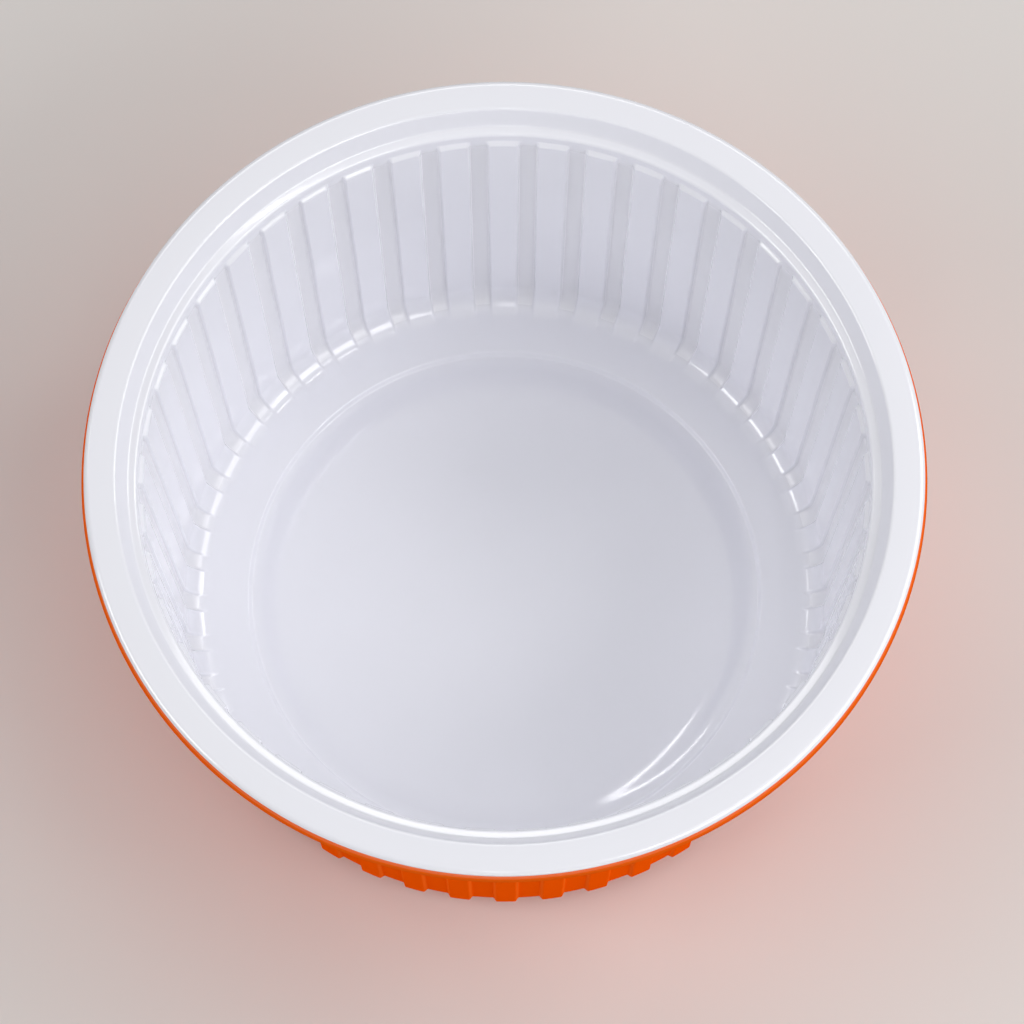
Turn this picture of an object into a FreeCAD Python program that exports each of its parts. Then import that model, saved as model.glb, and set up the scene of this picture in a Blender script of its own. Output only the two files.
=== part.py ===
import FreeCAD, Part
import os
import re
import Sketcher

# A disposable bowl formed from one sheet of plastic: a flat rim with a turned-down edge, a step and a
# ledge below it, a wall of raised panels between narrow grooves, and a floor with a foot ring.
# Millimetres, +Z up, origin on the table under the middle of the foot ring.

SIZES = {
    "rim_radius": 80.0,      # the widest circle, at the foot of the turned-down edge
    "bowl_height": 77.0,     # table to the top of the rim
    "sheet": 0.65,           # thickness of the plastic, the same all over
    "edge_drop": 3.0,        # height of the turned-down edge
    "edge_lean": 15.0,       # degrees off upright
    "rim_width": 5.7,        # flat top of the rim
    "step_drop": 3.8,        # rim's top down to the ledge
    "step_lean": 29.0,       # degrees off upright
    "ledge_width": 1.8,
    "ledge_slope": 12.0,     # degrees off level
    "wall_draft": 4.2,       # degrees off upright
    "band_height": 2.2,      # plain wall between the ledge and the panels
    "relief": 0.8,           # how far a panel stands in from the grooves beside it
    "bevel": 45.0,           # degrees off upright, at the top end of a panel
    "panel_count": 45,
    "groove_width": 3.7,     # inside, at the top of the wall
    "web": 0.5,              # plastic at each side of a groove
    "corner_round": 5.0,     # inside, wall to floor
    "ring_radius": 51.5,     # outer edge of the channel in the floor
    "ring_draft": 12.0,      # degrees off upright
    "channel_width": 1.8,    # level bottom of the channel, which is the foot ring's inside
    "foot_height": 1.2,      # how far the foot ring holds the base off the table
    "ramp_slope": 18.0,      # degrees off level, from the channel up to the middle of the floor
    "rim_round": 1.2,
    "lip_round": 0.8,
    "ledge_round": 0.7,
    "ring_round": 0.45,
    "ramp_round": 3.0,
    "cutter_reach": 3.0,     # how far the flutes' cutting shapes stand clear of the plastic
}

doc = FreeCAD.newDocument("Bowl")
sheet = doc.addObject("Spreadsheet::Sheet", "Sizes")
for row, (name, size) in enumerate(SIZES.items(), start=1):
    sheet.set("A%d" % row, name)
    sheet.set("B%d" % row, str(size))
    sheet.setAlias("B%d" % row, name)
doc.recompute()

body = doc.addObject("PartDesign::Body", "Bowl")
body.Label = "bowl"


# Sizes and places are written as expressions in the sheet's own words.

def bound(text):
    """The expression with every size's name pointed at the sheet."""
    return re.sub(r"[a-z]+(_[a-z]+)+|\b(sheet|relief|bevel|web)\b", r"Sizes.\g<0>", text)


def value(text):
    return float(sheet.evalExpression(bound(text)))


def under(point, before, after):
    """The corner on the far side of the sheet, between two runs whose far sides face down by the angles."""
    r, z = point
    spread = "(1 + cos(%s - (%s)))" % (before, after)
    return ("%s + sheet * (cos(%s) + cos(%s)) / %s" % (r, before, after, spread),
            "%s - sheet * (sin(%s) + sin(%s)) / %s" % (z, before, after, spread))


def wall_at(height, inset):
    """Radius of the line that lies inset from the grooves' bottom, at a height."""
    return "%s - (%s - (%s)) * tan(wall_draft) - (%s) / cos(wall_draft)" % (ledge_r, ledge_z, height, inset)


LEVEL = "90"                                    # far side of a level run faces straight down
EDGE = "(180 - edge_lean)"
LEDGE = "(90 - ledge_slope)"
RAMP = "(90 + ramp_slope)"

rim_edge_r = "(rim_radius - edge_drop * tan(edge_lean))"
lip_r = "(rim_radius - edge_drop * tan(edge_lean) - rim_width)"
step_r = "(%s - step_drop * tan(step_lean))" % lip_r
step_z = "(bowl_height - step_drop)"
ledge_r = "(%s - ledge_width)" % step_r
ledge_z = "(%s - ledge_width * tan(ledge_slope))" % step_z
band_z = "(%s - band_height)" % ledge_z
bevel_fall = "relief / cos(wall_draft) / (tan(bevel) - tan(wall_draft))"
floor_z = "(foot_height + sheet)"
channel_r = "(ring_radius - foot_height * tan(ring_draft))"
ramp_r = "(%s - channel_width)" % channel_r
middle_r = "(%s - foot_height / tan(ramp_slope))" % ramp_r
outside_round = "(corner_round + sheet)"

# Inside corners of the section, from the rim's edge to the axis
edge_foot = ("rim_radius", "bowl_height - edge_drop")
rim_edge = (rim_edge_r, "bowl_height")
lip = (lip_r, "bowl_height")
step = (step_r, step_z)
ledge = (ledge_r, ledge_z)
band = (wall_at(band_z, "0"), band_z)
panel_top = ("%s - %s * tan(bevel)" % (wall_at(band_z, "0"), bevel_fall), "%s - %s" % (band_z, bevel_fall))
corner = (wall_at(floor_z, "relief"), floor_z)
ring = ("ring_radius", floor_z)
channel = (channel_r, "sheet")
ramp = (ramp_r, "sheet")
middle = (middle_r, floor_z)
floor_axis = ("0", floor_z)

# Outside corners, from the axis to the rim's edge
base_axis = ("0", "foot_height")
middle_under = under(middle, RAMP, LEVEL)
ramp_under = under(ramp, LEVEL, RAMP)
channel_under = under(channel, "ring_draft", LEVEL)
ring_under = under(ring, LEVEL, "ring_draft")
corner_under = (wall_at("foot_height", "-sheet"), "foot_height")
ledge_under = under(ledge, LEDGE, "wall_draft")
step_under = under(step, "step_lean", LEDGE)
lip_under = under(lip, LEVEL, "step_lean")
rim_under = under(rim_edge, EDGE, LEVEL)
edge_inside = ("rim_radius - sheet / cos(edge_lean)", "bowl_height - edge_drop")


def outline(name, points, arc=None, turn=None):
    """A closed sketch through the points in the upright plane; arc is (first point, radius, centre)."""
    sketch = body.newObject("Sketcher::SketchObject", name)
    plane = [part for part in body.Origin.OriginFeatures if part.Role == "YZ_Plane"][0]
    sketch.AttachmentSupport = [(plane, "")]
    sketch.MapMode = "FlatFace"
    if turn:
        axis = FreeCAD.Vector(0, 1, 0)
        sketch.AttachmentOffset = FreeCAD.Placement(FreeCAD.Vector(), FreeCAD.Rotation(axis, value(turn)))
        sketch.setExpression("AttachmentOffset.Rotation.Angle", bound(turn))
    spots = [FreeCAD.Vector(value(r), value(z), 0) for r, z in points]
    count = len(points)
    ends = []
    for index in range(count):
        here, there = spots[index], spots[(index + 1) % count]
        if arc and arc[0] == index:
            centre = FreeCAD.Vector(value(arc[2][0]), value(arc[2][1]), 0)
            ends.append(round_between(sketch, here, there, centre))
            sketch.addConstraint(Sketcher.Constraint("Radius", index, value(arc[1])))
            sketch.setExpression("Constraints[%d]" % (sketch.ConstraintCount - 1), bound(arc[1]))
        else:
            sketch.addGeometry(Part.LineSegment(here, there), False)
            ends.append((1, 2))
    for index in range(count):
        after = (index + 1) % count
        sketch.addConstraint(Sketcher.Constraint("Coincident", index, ends[index][1], after, ends[after][0]))
    for index, (r, z) in enumerate(points):
        place(sketch, index, ends[index][0], "DistanceX", r)
        place(sketch, index, ends[index][0], "DistanceY", z)
    return sketch


def round_between(sketch, here, there, centre):
    """An arc between two spots, run clockwise; its ends are named in the outline's order."""
    first = (there - centre)
    last = (here - centre)
    circle = Part.Circle(centre, FreeCAD.Vector(0, 0, 1), last.Length)
    start = circle.parameter(centre + first)
    end = circle.parameter(centre + last)
    sketch.addGeometry(Part.ArcOfCircle(circle, start, end), False)
    return (2, 1)


def place(sketch, line, end, kind, text):
    axis = {"DistanceX": -2, "DistanceY": -1}[kind]
    if text == "0":
        sketch.addConstraint(Sketcher.Constraint("PointOnObject", line, end, axis))
        return
    sketch.addConstraint(Sketcher.Constraint(kind, line, end, value(text)))
    sketch.setExpression("Constraints[%d]" % (sketch.ConstraintCount - 1), bound(text))


def turned(kind, name, sketch, angle):
    """A Revolution or Groove of a sketch about the bowl's axis, centred on the sketch."""
    feature = body.newObject("PartDesign::" + kind, name)
    feature.Profile = sketch
    feature.ReferenceAxis = (sketch, ["V_Axis"])
    feature.Midplane = True
    feature.Angle = value(angle)
    feature.setExpression("Angle", bound(angle))
    doc.recompute()
    return feature


def round_off(name, points, radius):
    """A fillet on the circles about the axis that pass through the points."""
    base = body.Tip
    names = []
    for r, z in points:
        spot = FreeCAD.Vector(0, value(r), value(z))
        for index, edge in enumerate(base.Shape.Edges, start=1):
            if edge.isClosed() and edge.distToShape(Part.Vertex(spot))[0] < 1e-4:
                names.append("Edge%d" % index)
    assert len(names) == len(points), name
    fillet = body.newObject("PartDesign::Fillet", name)
    fillet.Base = (base, names)
    fillet.Radius = value(radius)
    fillet.setExpression("Radius", bound(radius))
    doc.recompute()
    return fillet


def around(name, feature):
    """The feature repeated at every panel."""
    pattern = body.newObject("PartDesign::PolarPattern", name)
    pattern.Originals = [feature]
    axis = [part for part in body.Origin.OriginFeatures if part.Role == "Z_Axis"][0]
    pattern.Axis = (axis, [""])
    pattern.Angle = 360
    pattern.Occurrences = SIZES["panel_count"]
    pattern.setExpression("Occurrences", bound("panel_count"))
    body.Tip = pattern
    doc.recompute()
    return pattern


def make_blank():
    """The whole bowl with the full depth of the flutes left in its wall."""
    section = outline("Section", [
        edge_foot, rim_edge, lip, step, ledge, band, panel_top, corner, ring, channel, ramp, middle,
        floor_axis, base_axis, middle_under, ramp_under, channel_under, ring_under, corner_under,
        ledge_under, step_under, lip_under, rim_under, edge_inside])
    turned("Revolution", "Blank", section, "360")
    round_off("CornerInside", [corner], "corner_round")
    round_off("CornerOutside", [corner_under], outside_round)
    round_off("RimRound", [rim_edge], "rim_round")
    round_off("RimUnderRound", [rim_under], "rim_round - sheet")
    round_off("LipRound", [lip, ledge], "lip_round")
    round_off("LedgeRound", [step], "ledge_round")
    round_off("LedgeUnderRound", [step_under], "ledge_round + sheet")
    round_off("RingRound", [ring, channel], "ring_round")
    round_off("FootRound", [channel_under], "ring_round + sheet")
    round_off("RampRound", [ramp, middle], "ramp_round")
    round_off("RampUnderRound", [ramp_under], "ramp_round + sheet")
    round_off("MiddleUnderRound", [middle_under], "ramp_round - sheet")


def cut_recesses():
    """Outside, behind each panel: what stays between them are the ribs. A recess runs out under the
    corner, half its depth inside the ring where the ribs meet the underside."""
    centre_z = "(foot_height + sqrt(%s^2 - (relief / 2)^2))" % outside_round
    centre_r = "(%s - %s / cos(wall_draft))" % (wall_at(centre_z, "relief - sheet"), outside_round)
    top = under(panel_top, "bevel", "wall_draft")
    clear = ("%s + cutter_reach * tan(bevel)" % top[0], "%s + cutter_reach" % top[1])
    tangent = ("%s + %s * cos(wall_draft)" % (centre_r, outside_round),
               "%s - %s * sin(wall_draft)" % (centre_z, outside_round))
    lowest = (centre_r, "%s - %s" % (centre_z, outside_round))
    section = outline("RecessSection",
                      [clear, top, tangent, lowest, (centre_r, "0"), (clear[0], "0")],
                      arc=(2, outside_round, (centre_r, centre_z)))
    angle = "360 deg / panel_count - 2 * asin((groove_width / 2 + web) / %s)" % ledge_r
    around("Recesses", turned("Groove", "Recess", section, angle))


def cut_grooves():
    """Inside, between the panels and open to the plain band above them."""
    centre_z = "(%s + corner_round)" % floor_z
    centre_r = "(%s - corner_round / cos(wall_draft))" % wall_at(centre_z, "0")
    tangent = ("%s + corner_round * cos(wall_draft)" % centre_r,
               "%s - corner_round * sin(wall_draft)" % centre_z)
    past = ("%s - relief" % centre_r, "%s - sqrt(corner_round^2 - relief^2)" % centre_z)
    clear = (past[0], band_z)
    section = outline("GrooveSection", [clear, band, tangent, past],
                      arc=(2, "corner_round", (centre_r, centre_z)), turn="180 / panel_count")
    around("Grooves", turned("Groove", "Groove", section, "2 * asin(groove_width / 2 / %s)" % ledge_r))


make_blank()
cut_recesses()
cut_grooves()
doc.recompute()

for item in doc.Objects:
    assert not {"Invalid", "Error"} & set(item.State), "%s is %s" % (item.Name, item.State)
shape = body.Shape
assert not shape.isNull() and shape.isValid(), "bowl is not valid"
assert len(shape.Solids) == 1, "bowl is not one solid"
os.makedirs("parts", exist_ok=True)
shape.exportStep("parts/%s.step" % body.Label)
print("bowl: %.0f mm3, %d faces" % (shape.Volume, len(shape.Faces)))
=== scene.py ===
import bpy
import math
import numpy as np
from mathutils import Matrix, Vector


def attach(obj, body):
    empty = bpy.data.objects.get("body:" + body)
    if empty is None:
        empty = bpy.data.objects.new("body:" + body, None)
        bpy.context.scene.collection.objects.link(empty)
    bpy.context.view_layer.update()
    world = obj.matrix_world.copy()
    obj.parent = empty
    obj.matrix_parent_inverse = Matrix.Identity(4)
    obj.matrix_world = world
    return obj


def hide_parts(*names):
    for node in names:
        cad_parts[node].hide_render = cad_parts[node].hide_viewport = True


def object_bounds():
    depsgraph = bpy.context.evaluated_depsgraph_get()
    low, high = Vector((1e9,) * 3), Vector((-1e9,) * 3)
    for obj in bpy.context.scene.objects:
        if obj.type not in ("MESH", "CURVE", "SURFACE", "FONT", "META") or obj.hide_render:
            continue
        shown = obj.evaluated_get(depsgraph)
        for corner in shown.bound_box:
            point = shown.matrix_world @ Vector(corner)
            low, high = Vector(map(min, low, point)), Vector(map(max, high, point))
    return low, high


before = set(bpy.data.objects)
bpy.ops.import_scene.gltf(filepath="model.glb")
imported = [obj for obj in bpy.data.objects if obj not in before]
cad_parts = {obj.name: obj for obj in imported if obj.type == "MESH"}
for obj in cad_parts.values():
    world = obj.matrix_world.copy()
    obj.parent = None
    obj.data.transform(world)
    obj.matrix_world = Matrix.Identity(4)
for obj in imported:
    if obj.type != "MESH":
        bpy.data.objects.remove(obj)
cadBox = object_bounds()
print("frame loaded")

# Sizes of the bowl's section in millimetres and degrees, the same as in the construction
bowl = {
    "rimRadius": 80.0, "height": 77.0, "sheet": 0.65, "edgeDrop": 3.0, "edgeLean": 15.0,
    "rimWidth": 5.7, "stepDrop": 3.8, "stepLean": 29.0, "ledgeWidth": 1.8, "ledgeSlope": 12.0,
    "wallDraft": 4.2, "bandHeight": 2.2, "relief": 0.8, "bevel": 45.0, "panelCount": 45,
    "grooveWidth": 3.7, "web": 0.5, "cornerRound": 5.0, "ringRadius": 51.5, "ringDraft": 12.0,
    "channelWidth": 1.8, "footHeight": 1.2, "rampSlope": 18.0,
    "rimRound": 1.2, "lipRound": 0.8, "ledgeRound": 0.7, "ringRound": 0.45, "rampRound": 3.0,
    # the channel's inside is a little shallower and rounder than the foot ring under it
    "softRing": {"footHeight": 0.8, "ringDraft": 42.0, "channelWidth": 1.5, "rampSlope": 12.5,
                 "rampRound": 11.0, "middleRound": 17.0},
    "middleRound": 3.0,
    "leastRound": 0.15,        # tight side of the sheet at a bend
    "whiteEdge": 79.4,         # radius where the white inside ends, on the rim's outer bend
    "edgeHighlight": 0.5,           # how much painted highlight the outside takes along the turned-down edge
    "edgeSoftness": 0.34,      # degrees, half of a panel edge's width
    "bevelEnds": 0.12,         # how far the bevel's rounding runs past its ends, as a share of its length
    "bevelRounding": 0.35,     # 0 for a plain slope, 1 for an S
    "bevelLag": 0.29,          # how much lower the bevel starts on the outside
    "fluteStart": 0.12,        # where the flutes' painted shade and painted highlight are full, as a share of the corner's rounding
    "fluteFade": 2.5,          # length over which it fades at the plain band
}
# Where the mesh has its points
mesh = {
    "floorRings": (0.3, 0.6, 0.9),   # on the flat middle of the floor, as shares of its radius
    "wallRings": 11, "wallMargin": 3.0,
    "bevelRings": (1.6, 1.3, 1.15, 1.0, 0.85, 0.7, 0.55, 0.4, 0.25, 0.1, -0.05, -0.2, -0.6),  # below the band
    "fewAngles": (1.5, 3.2),   # degrees from a panel's middle
    "manyAngles": (0.8, 1.72, 1.88, 2.03, 2.17, 2.31, 2.46, 2.6, 2.74, 2.88, 3.65),
}
toMetres = 0.001
atCorner, atLedge = 5, 6       # places in the list of the section's corners
floorZ = bowl["footHeight"] + bowl["sheet"]
pitch = 360 / bowl["panelCount"]


def tangent(degrees):
    return math.tan(math.radians(degrees))


# Corners of the inside, from the axis out to the rim's edge: radius, height, rounding, points
def sectionCorners(b):
    channelZ = floorZ - b["footHeight"]
    rimEdge = b["rimRadius"] - b["edgeDrop"] * tangent(b["edgeLean"])
    lip = rimEdge - b["rimWidth"]
    step = lip - b["stepDrop"] * tangent(b["stepLean"])
    stepZ = b["height"] - b["stepDrop"]
    ledge = step - b["ledgeWidth"]
    ledgeZ = stepZ - b["ledgeWidth"] * tangent(b["ledgeSlope"])
    corner = ledge - (ledgeZ - floorZ) * tangent(b["wallDraft"])
    channel = b["ringRadius"] - b["footHeight"] * tangent(b["ringDraft"])
    ramp = channel - b["channelWidth"]
    middle = ramp - b["footHeight"] / tangent(b["rampSlope"])
    return [
        (0.0, floorZ, 0, 1), (middle, floorZ, b["middleRound"], 12), (ramp, channelZ, b["rampRound"], 12),
        (channel, channelZ, b["ringRound"], 5), (b["ringRadius"], floorZ, b["ringRound"], 5),
        (corner, floorZ, b["cornerRound"], 16), (ledge, ledgeZ, b["lipRound"], 6),
        (step, stepZ, b["ledgeRound"], 6), (lip, b["height"], b["lipRound"], 7),
        (rimEdge, b["height"], b["rimRound"], 12), (b["rimRadius"], b["height"] - b["edgeDrop"], 0, 1),
    ]


# The same corners on the far side of the sheet
def underCorners(corners):
    points = [np.array(c[:2]) for c in corners]
    normals = []
    for here, there in zip(points, points[1:]):
        along = (there - here) / np.linalg.norm(there - here)
        normals.append(np.array((along[1], -along[0])))
    moved = []
    for index, point in enumerate(points):
        before = normals[max(index - 1, 0)]
        after = normals[min(index, len(normals) - 1)]
        moved.append(point + bowl["sheet"] * (before + after) / (1 + before @ after))
    return moved


# Points along a rounded corner
def bend(before, corner, after, radius, count):
    inward = (before - corner) / np.linalg.norm(before - corner)
    onward = (after - corner) / np.linalg.norm(after - corner)
    half = math.acos(np.clip(inward @ onward, -1, 1)) / 2
    centre = corner + (inward + onward) / np.linalg.norm(inward + onward) * radius / math.sin(half)
    start = corner + inward * radius / math.tan(half) - centre
    end = corner + onward * radius / math.tan(half) - centre
    turned = math.pi - 2 * half
    share = np.linspace(0, 1, count)[:, None]
    return centre + (np.sin((1 - share) * turned) * start + np.sin(share * turned) * end) / math.sin(turned)


def smooth(x):
    x = np.clip(x, 0, 1)
    return x * x * (3 - 2 * x)


# Matching points on both sides of the sheet, how far a panel's relief has grown at each point, and
# how many angles the ring through it needs
def traceSection(corners):
    softCorners = sectionCorners({**bowl, **bowl["softRing"]})
    upperCorners = [np.array(c[:2]) for c in softCorners]
    lowerCorners = underCorners(corners)
    upper, under, grown, detail = [], [], [], []
    for index, (_, _, radius, count) in enumerate(corners):
        if count == 1:
            upper.append(upperCorners[index][None])
            under.append(lowerCorners[index][None])
        else:
            a, c, d = upperCorners[index - 1:index + 2]
            turn = (c - a)[0] * (d - c)[1] - (c - a)[1] * (d - c)[0]
            tight = max(radius - bowl["sheet"], bowl["leastRound"])
            farRadius = radius + bowl["sheet"] if turn > 0 else tight
            upper.append(bend(a, c, d, softCorners[index][2], count))
            under.append(bend(*lowerCorners[index - 1:index + 2], farRadius, count))
        grown.append(np.full(count, 1.0 if index == atCorner else 0.0))
        detail.append(np.full(count, 0 if index == atCorner else 1))
        if index == 0:
            middle = np.array([[x * upperCorners[1][0], upperCorners[0][1]] for x in mesh["floorRings"]])
            upper.append(middle)
            under.append(middle - (0, bowl["sheet"]))
            grown.append(np.zeros(len(middle)))
            detail.append(np.full(len(middle), 2))
        if index == atCorner:
            wall = wallStations(upperCorners[index], upperCorners[atLedge])
            upper.append(wall)
            out = lowerCorners[index] - lowerCorners[atLedge]
            down = (wall[:, 1] - lowerCorners[atLedge][1]) / out[1]
            under.append(lowerCorners[atLedge] + out * down[:, None])
            grown.append(np.full(len(wall), np.nan))
            detail.append(np.zeros(len(wall), int))
    return np.vstack(upper), np.vstack(under), np.concatenate(grown), np.concatenate(detail)


# Points up the straight wall, closer together where the panels begin
def wallStations(low, high):
    bandZ = high[1] - bowl["bandHeight"]
    bottom = bandZ - floorZ - bowl["cornerRound"]
    falls = np.linspace(bottom - mesh["wallMargin"], mesh["wallMargin"], mesh["wallRings"])
    z = bandZ - np.concatenate((falls, mesh["bevelRings"]))
    return low + (high - low) * ((z - low[1]) / (high[1] - low[1]))[:, None]


# 0 on the plain band, 1 on the panels, with the bevel between them
def reliefShare(z, grown, bandZ, lag):
    fall = (bandZ - lag - z) * tangent(bowl["bevel"]) / bowl["relief"]
    slope = np.clip(fall, 0, 1)
    rounded = smooth((fall + bowl["bevelEnds"]) / (1 + 2 * bowl["bevelEnds"]))
    share = (1 - bowl["bevelRounding"]) * slope + bowl["bevelRounding"] * rounded
    return np.where(np.isnan(grown), share, grown)


# Share of the painted light colour: 1 up the flutes, fading out low in the corner and at the plain band
def fluteShare(points, grown, bandZ):
    risen = smooth((points[:, 1] - floorZ) / bowl["cornerRound"] / bowl["fluteStart"])
    return np.where(grown == 0, 0, risen) * smooth((bandZ - points[:, 1]) / bowl["fluteFade"])


# Angles round the bowl in degrees, close together at the edges of the panels, and for each angle the
# coarsest ring that has it: 2 for one at each panel's middle, 1 for a few more, 0 for the rest
def azimuths():
    pattern = [(0, 2), (pitch / 2, 0)]
    for level, offsets in ((1, mesh["fewAngles"]), (0, mesh["manyAngles"])):
        pattern += [(x, level) for x in offsets] + [(pitch - x, level) for x in offsets]
    pattern = np.array(sorted(pattern))
    turns = 90 + pitch * np.arange(bowl["panelCount"])
    return (turns[:, None] + pattern[:, 0]).ravel(), np.tile(pattern[:, 1], bowl["panelCount"]).astype(int)


# 1 over a panel, 0 between two of them
def panelShare(angles, halfWidth):
    away = np.abs((angles - 90 + pitch / 2) % pitch - pitch / 2)
    soft = bowl["edgeSoftness"]
    return 1 - smooth((away - halfWidth + soft) / (2 * soft))


# Carries a section round the axis, moving it inward over the panels
def sweep(points, share, angles, across):
    relief = bowl["relief"] / math.cos(math.radians(bowl["wallDraft"]))
    radius = points[:, 0][:, None] - relief * share[:, None] * across[None]
    z = np.repeat(points[:, 1][:, None], len(angles), axis=1)
    a = np.radians(angles)[None]
    return np.stack((radius * np.cos(a), radius * np.sin(a), z), axis=-1) * toMetres


# A closed mesh of rings, shut at each end on the axis. A ring of detail d has the angles of level d
# and up, and where two rings differ, one face of the coarser takes in several points of the finer.
# The marks say how far each point takes the material's painted light colour: painted shade in the inside's
# grooves, painted highlight on the outside's rib sides and turned-down edge
def closedPiece(name, rings, details, levels, poles, marks):
    points, faces, rows, marked = [], [], [], []
    for ring, detail, mark in zip(rings, details, marks):
        chosen = np.flatnonzero(levels >= detail)
        rows.append(dict(zip(chosen.tolist(), range(len(points), len(points) + len(chosen)))))
        points.extend(ring[chosen].tolist())
        marked.extend(mark[chosen].tolist())
    for low, high in zip(rows, rows[1:]):
        shared = sorted(low.keys() & high.keys())
        for start, end in zip(shared, shared[1:] + [shared[0] + len(levels)]):
            between = range(start, end + 1)
            bottom = [low[i % len(levels)] for i in between if i % len(levels) in low]
            top = [high[i % len(levels)] for i in between if i % len(levels) in high]
            faces.append(bottom + top[::-1])
    for row, pole, flip in ((rows[0], poles[0], -1), (rows[-1], poles[1], 1)):
        rim = list(row.values())
        points.append(list(pole))
        marked.append(0.0)
        faces += [[len(points) - 1, *(a, b)[::flip]] for a, b in zip(rim, rim[1:] + rim[:1])]
    skin = bpy.data.meshes.new(name)
    skin.from_pydata(points, [], faces)
    skin.shade_smooth()
    # painted light share per point: painted shade in the grooves inside, painted highlight on the rib sides
    # and turned-down edge outside
    skin.attributes.new("paintedLight", "FLOAT", "POINT").data.foreach_set("value", marked)
    piece = bpy.data.objects.new(name, skin)
    bpy.context.scene.collection.objects.link(piece)
    return piece


corners = sectionCorners(bowl)
upper, under, grown, detail = traceSection(corners)
wallRadius, ledgeZ = corners[atLedge][:2]
bandZ = ledgeZ - bowl["bandHeight"]
angles, levels = azimuths()
grooveHalf = math.degrees(math.asin(bowl["grooveWidth"] / 2 / wallRadius))
recessHalf = math.degrees(math.asin((bowl["grooveWidth"] / 2 + bowl["web"]) / wallRadius))
panels = panelShare(angles, pitch / 2 - grooveHalf)
recesses = panelShare(angles, pitch / 2 - recessHalf)
inner = sweep(upper, reliefShare(upper[:, 1], grown, bandZ, 0), angles, panels)
outer = sweep(under, reliefShare(under[:, 1], grown, bandZ, bowl["bevelLag"]), angles, recesses)
middle = (inner + outer) / 2      # where the two colours meet inside the sheet
# How much painted light colour each point takes: painted shade in the inside's grooves, painted highlight on
# the outside's rib sides and turned-down edge
flutes = fluteShare(upper, grown, bandZ)[:, None]
# painted shade on the floors of the grooves
grooves = flutes * (1 - panels)[None]
ribHighlight = flutes * (4 * recesses * (1 - recesses))[None]    # painted highlight, full halfway up each rib's side
plain = np.zeros_like(grooves)
# painted highlight along the turned-down edge
turnedEdgeHighlight = plain + bowl["edgeHighlight"]
pastEdge = (upper[:, 0] > bowl["whiteEdge"]) & (upper[:, 1] > bowl["height"] - bowl["edgeDrop"])
split = int(np.argmax(pastEdge))
print("section of", len(upper), "points swept to", len(angles), "angles")

inside = closedPiece(
    "bowl_inside",
    np.concatenate((inner[1:split + 1], middle[split - 1:0:-1])),
    np.concatenate((detail[1:split + 1], detail[split - 1:0:-1])),
    levels, (inner[0, 0], middle[0, 0]),
    np.concatenate((grooves[1:split + 1], plain[split - 1:0:-1])))
outside = closedPiece(
    "bowl_outside",
    np.concatenate((middle[1:split], inner[split:], outer[:0:-1])),
    np.concatenate((detail[1:split], detail[split:], detail[:0:-1])),
    levels, (middle[0, 0], outer[0, 0]),
    np.concatenate((plain[1:split], turnedEdgeHighlight[split:], ribHighlight[:0:-1])))
print("bowl built")


# A node group with named sockets: (name, kind, value)
def addGroup(name, inputs, outputs):
    group = bpy.data.node_groups.new(name, "ShaderNodeTree")
    for label, kind, value in inputs:
        socket = group.interface.new_socket(label, in_out="INPUT", socket_type="NodeSocket" + kind)
        socket.default_value = value
    for label, kind in outputs:
        group.interface.new_socket(label, in_out="OUTPUT", socket_type="NodeSocket" + kind)
    return group, group.nodes.new("NodeGroupInput"), group.nodes.new("NodeGroupOutput")


def addNode(tree, kind, **values):
    node = tree.nodes.new(kind)
    for key, value in values.items():
        if hasattr(node, key):
            setattr(node, key, value)
        else:
            node.inputs[key.replace("_", " ")].default_value = value
    return node


# Surface of formed plastic: cloudy colour, patches of duller gloss, and a slight ripple
sheetGrain = {
    "patchScale": 42.0, "patchDetail": 4.0,
    "waveScale": 70.0, "waveDetail": 1.0, "waveHeight": 0.001,
}


def formedSheet():
    group, given, result = addGroup(
        "formedSheet",
        [("Color", "Color", (1, 1, 1, 1)), ("Cloud", "Float", 0.02), ("Gloss", "Float", 0.2),
         ("Haze", "Float", 0.06), ("Ripple", "Float", 0.1)],
        [("Color", "Color"), ("Roughness", "Float"), ("Normal", "Vector")])
    link = group.links.new
    place = addNode(group, "ShaderNodeTexCoord")
    patches = addNode(group, "ShaderNodeTexNoise", Scale=sheetGrain["patchScale"],
                      Detail=sheetGrain["patchDetail"])
    waves = addNode(group, "ShaderNodeTexNoise", Scale=sheetGrain["waveScale"],
                    Detail=sheetGrain["waveDetail"])
    for texture in (patches, waves):
        link(place.outputs["Object"], texture.inputs["Vector"])
    parts = addNode(group, "ShaderNodeSeparateColor")
    link(patches.outputs["Color"], parts.inputs[0])
    centred = addNode(group, "ShaderNodeMath", operation="SUBTRACT")
    centred.inputs[1].default_value = 0.5
    link(parts.outputs[0], centred.inputs[0])
    spread = addNode(group, "ShaderNodeMath", operation="MULTIPLY_ADD")
    spread.inputs[2].default_value = 1.0
    link(centred.outputs[0], spread.inputs[0])
    link(given.outputs["Cloud"], spread.inputs[1])
    tinted = addNode(group, "ShaderNodeVectorMath", operation="SCALE")
    link(given.outputs["Color"], tinted.inputs[0])
    link(spread.outputs[0], tinted.inputs["Scale"])
    link(tinted.outputs[0], result.inputs["Color"])
    hazed = addNode(group, "ShaderNodeMath", operation="MULTIPLY_ADD")
    link(parts.outputs[1], hazed.inputs[0])
    link(given.outputs["Haze"], hazed.inputs[1])
    link(given.outputs["Gloss"], hazed.inputs[2])
    link(hazed.outputs[0], result.inputs["Roughness"])
    broad = addNode(group, "ShaderNodeBump", Distance=sheetGrain["waveHeight"])
    link(waves.outputs["Fac"], broad.inputs["Height"])
    link(given.outputs["Ripple"], broad.inputs["Strength"])
    link(broad.outputs["Normal"], result.inputs["Normal"])
    return group


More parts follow.
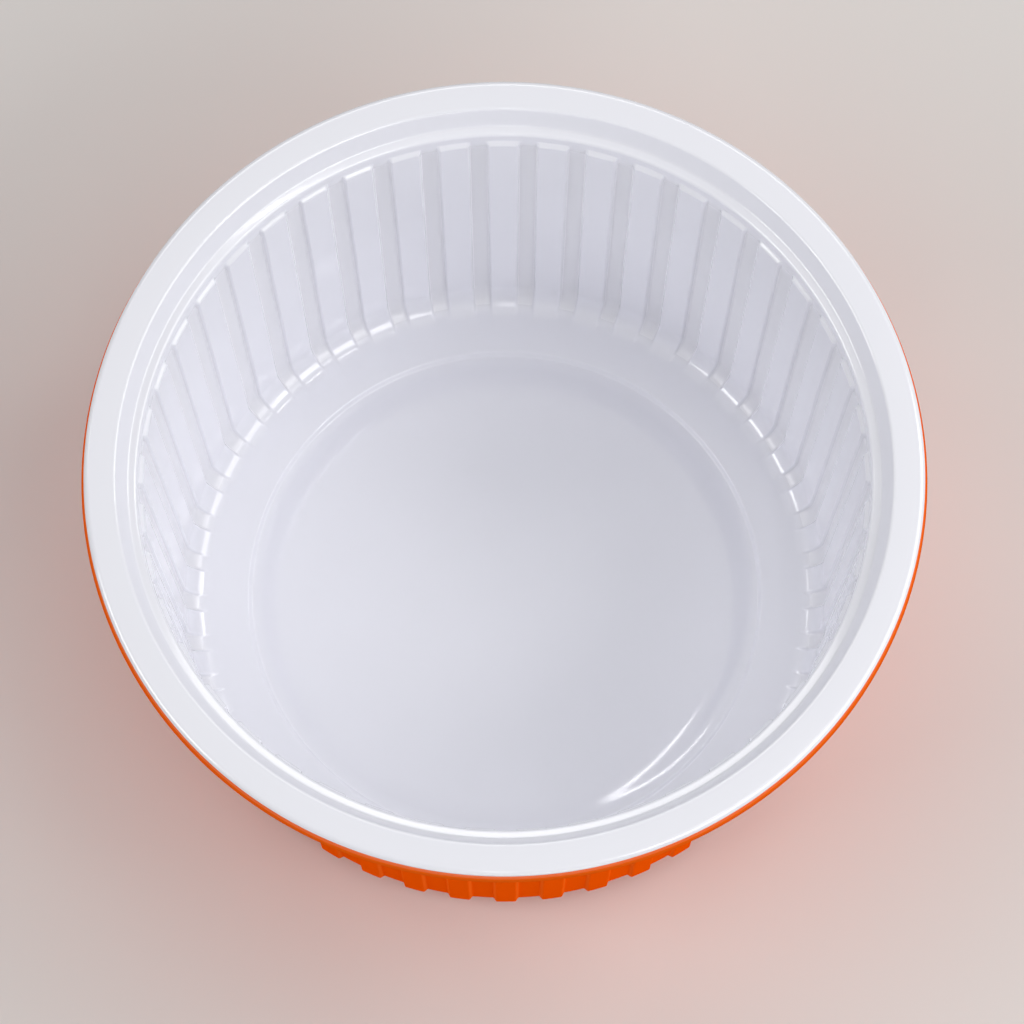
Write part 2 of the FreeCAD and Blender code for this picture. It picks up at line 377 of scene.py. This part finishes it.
# A glossy plastic with the formed sheet's surface
def plastic(name, look):
    material = bpy.data.materials.new(name)
    material.use_nodes = True
    tree = material.node_tree
    shader = tree.nodes["Principled BSDF"]
    surface = tree.nodes.new("ShaderNodeGroup")
    surface.node_tree = sheetSurface
    for key in ("Color", "Cloud", "Gloss", "Haze", "Ripple"):
        surface.inputs[key].default_value = look[key]
    # The attribute mixes in the look's painted light colour, painted shade on the white and painted highlight
    # on the orange, and also dulls the gloss there
    paintedLight = addNode(tree, "ShaderNodeAttribute", attribute_name="paintedLight")
    paintedLightColor = addNode(tree, "ShaderNodeMix", data_type="RGBA")
    paintedLightColor.inputs[7].default_value = look["paintedLightColor"]
    tree.links.new(paintedLight.outputs["Fac"], paintedLightColor.inputs[0])
    tree.links.new(surface.outputs["Color"], paintedLightColor.inputs[6])
    tree.links.new(paintedLightColor.outputs[2], shader.inputs["Base Color"])
    dulled = addNode(tree, "ShaderNodeMath", operation="MULTIPLY_ADD")
    dulled.inputs[1].default_value = look["dulled"]
    tree.links.new(paintedLight.outputs["Fac"], dulled.inputs[0])
    tree.links.new(surface.outputs["Roughness"], dulled.inputs[2])
    tree.links.new(dulled.outputs[0], shader.inputs["Roughness"])
    tree.links.new(surface.outputs["Normal"], shader.inputs["Normal"])
    shader.inputs["IOR"].default_value = look["ior"]
    shader.inputs["Specular IOR Level"].default_value = look["shine"]
    # The outside is seen along its surface, where a full shine would grey its colour
    if "shineKept" in look:
        facing = addNode(tree, "ShaderNodeLayerWeight")
        fade = addNode(tree, "ShaderNodeMapRange")
        fade.inputs["From Min"].default_value = look["shineKept"]
        fade.inputs["From Max"].default_value = look["shineGone"]
        fade.inputs["To Min"].default_value = look["shine"]
        fade.inputs["To Max"].default_value = 0.0
        tree.links.new(facing.outputs["Facing"], fade.inputs["Value"])
        tree.links.new(fade.outputs["Result"], shader.inputs["Specular IOR Level"])
    return material


sheetSurface = formedSheet()
whiteLook = {"Color": (0.93, 0.93, 0.985, 1), "Cloud": 0.03, "Gloss": 0.07, "Haze": 0.08, "Ripple": 0.06,
             "ior": 1.55, "shine": 1.0,
             "paintedLightColor": (0.875, 0.872, 0.91, 1), "dulled": 0.22}   # painted shade in the grooves, where the gloss is also duller
orangeLook = {"Color": (0.98, 0.108, 0.001, 1), "Cloud": 0.05, "Gloss": 0.3, "Haze": 0.1, "Ripple": 0.06,
              "ior": 1.55, "shine": 0.5, "shineKept": 0.25, "shineGone": 0.6,
              "paintedLightColor": (1.0, 0.17, 0.012, 1), "dulled": 0.0}     # painted highlight along the ribs' sides and the turned-down edge
inside.data.materials.append(plastic("whitePlastic", whiteLook))
outside.data.materials.append(plastic("orangePlastic", orangeLook))
for piece, slotName in ((inside, "bowl_inside"), (outside, "bowl_outside")):
    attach(piece, "root")
    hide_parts("bowl")
print("bowl finished")


# Studio: a pale floor, soft lamps and the camera
studio = {
    "floorSize": 6.0, "floorColor": (0.78, 0.76, 0.73, 1), "floorRoughness": 0.8,
    "lampAim": (0, 0, 0.04),
}
floorMesh = bpy.data.meshes.new("floor")
half = studio["floorSize"] / 2
floorCorners = [(-half, -half, 0), (half, -half, 0), (half, half, 0), (-half, half, 0)]
floorMesh.from_pydata(floorCorners, [], [(0, 1, 2, 3)])
floor = bpy.data.objects.new("floor", floorMesh)
bpy.context.scene.collection.objects.link(floor)
floorMaterial = bpy.data.materials.new("floorPaper")
floorMaterial.use_nodes = True
floorShader = floorMaterial.node_tree.nodes["Principled BSDF"]
floorShader.inputs["Base Color"].default_value = studio["floorColor"]
floorShader.inputs["Roughness"].default_value = studio["floorRoughness"]
floorMesh.materials.append(floorMaterial)


# A white softbox aimed at the bowl, placed by its direction, as bright over its face as the last number
def addLamp(name, azimuth, elevation, distance, size, brightness):
    light = bpy.data.lights.new(name, "AREA")
    light.shape = "RECTANGLE"
    light.size, light.size_y = size
    light.energy = brightness * math.pi * size[0] * size[1]
    lamp = bpy.data.objects.new(name, light)
    a, e = math.radians(azimuth), math.radians(elevation)
    target = Vector(studio["lampAim"])
    away = Vector((math.cos(a) * math.cos(e), math.sin(a) * math.cos(e), math.sin(e)))
    lamp.location = target + distance * away
    lamp.rotation_euler = (target - lamp.location).to_track_quat("-Z", "Y").to_euler()
    bpy.context.scene.collection.objects.link(lamp)
    return lamp


addLamp("windowBox", -45, 41, 1.0, (0.60, 0.50), 2.8)
addLamp("rightBox", 2, 36, 1.0, (0.80, 0.75), 1.8)
addLamp("leftBox", 194, 34, 1.1, (0.66, 0.38), 4.1)
addLamp("frontBox", -92, 50, 1.1, (0.08, 0.36), 1.8)
addLamp("lowBox", -90, 6, 1.2, (0.80, 0.20), 2.2)
addLamp("backBox", 90, 50, 1.3, (1.30, 0.36), 2.3)
addLamp("rightEdgeBox", 32, 45, 1.1, (0.16, 0.20), 3.6)
addLamp("leftEdgeBox", 150, 45, 1.1, (0.12, 0.14), 3.6)
stripBox = addLamp("stripBox", -1, 76.2, 1.195, (0.035, 0.37), 9.0)
stripBox.rotation_euler = (0, 0, 0)   # straight down, its long side from front to back

# The world lights the bowl softly, and is a white backdrop where it is seen, directly or mirrored
sky = {"light": 0.18, "lightColor": (0.93, 0.95, 1, 1), "backdrop": 1.0}
world = bpy.data.worlds.new("studio")
bpy.context.scene.world = world
world.use_nodes = True
skyTree = world.node_tree
softLight = skyTree.nodes["Background"]
softLight.inputs["Color"].default_value = sky["lightColor"]
softLight.inputs["Strength"].default_value = sky["light"]
backdrop = addNode(skyTree, "ShaderNodeBackground", Color=(1, 1, 1, 1), Strength=sky["backdrop"])
rays = addNode(skyTree, "ShaderNodeLightPath")
seen = rays.outputs["Is Camera Ray"]
for kind in ("Is Glossy Ray", "Is Transmission Ray"):
    either = addNode(skyTree, "ShaderNodeMath", operation="MAXIMUM")
    skyTree.links.new(seen, either.inputs[0])
    skyTree.links.new(rays.outputs[kind], either.inputs[1])
    seen = either.outputs[0]
shown = addNode(skyTree, "ShaderNodeMixShader")
skyTree.links.new(seen, shown.inputs[0])
skyTree.links.new(softLight.outputs[0], shown.inputs[1])
skyTree.links.new(backdrop.outputs[0], shown.inputs[2])
skyTree.links.new(shown.outputs[0], skyTree.nodes["World Output"].inputs["Surface"])

camera = {"distance": 1.1, "offVertical": 19.3, "lens": 205.0, "sensor": 36.0, "aim": (0.0014, -0.0087)}
lensData = bpy.data.cameras.new("camera")
lensData.lens = camera["lens"]
lensData.sensor_width = camera["sensor"]
view = bpy.data.objects.new("camera", lensData)
rimZ = cadBox[1].z
tilt = math.radians(camera["offVertical"])
view.location = (0, -camera["distance"] * math.sin(tilt), rimZ + camera["distance"] * math.cos(tilt))
aim = Vector((camera["aim"][0], camera["aim"][1], rimZ))
view.rotation_euler = (aim - view.location).to_track_quat("-Z", "Y").to_euler()
bpy.context.scene.collection.objects.link(view)
bpy.context.scene.camera = view
bpy.context.scene.view_settings.view_transform = "Standard"
print("studio ready")
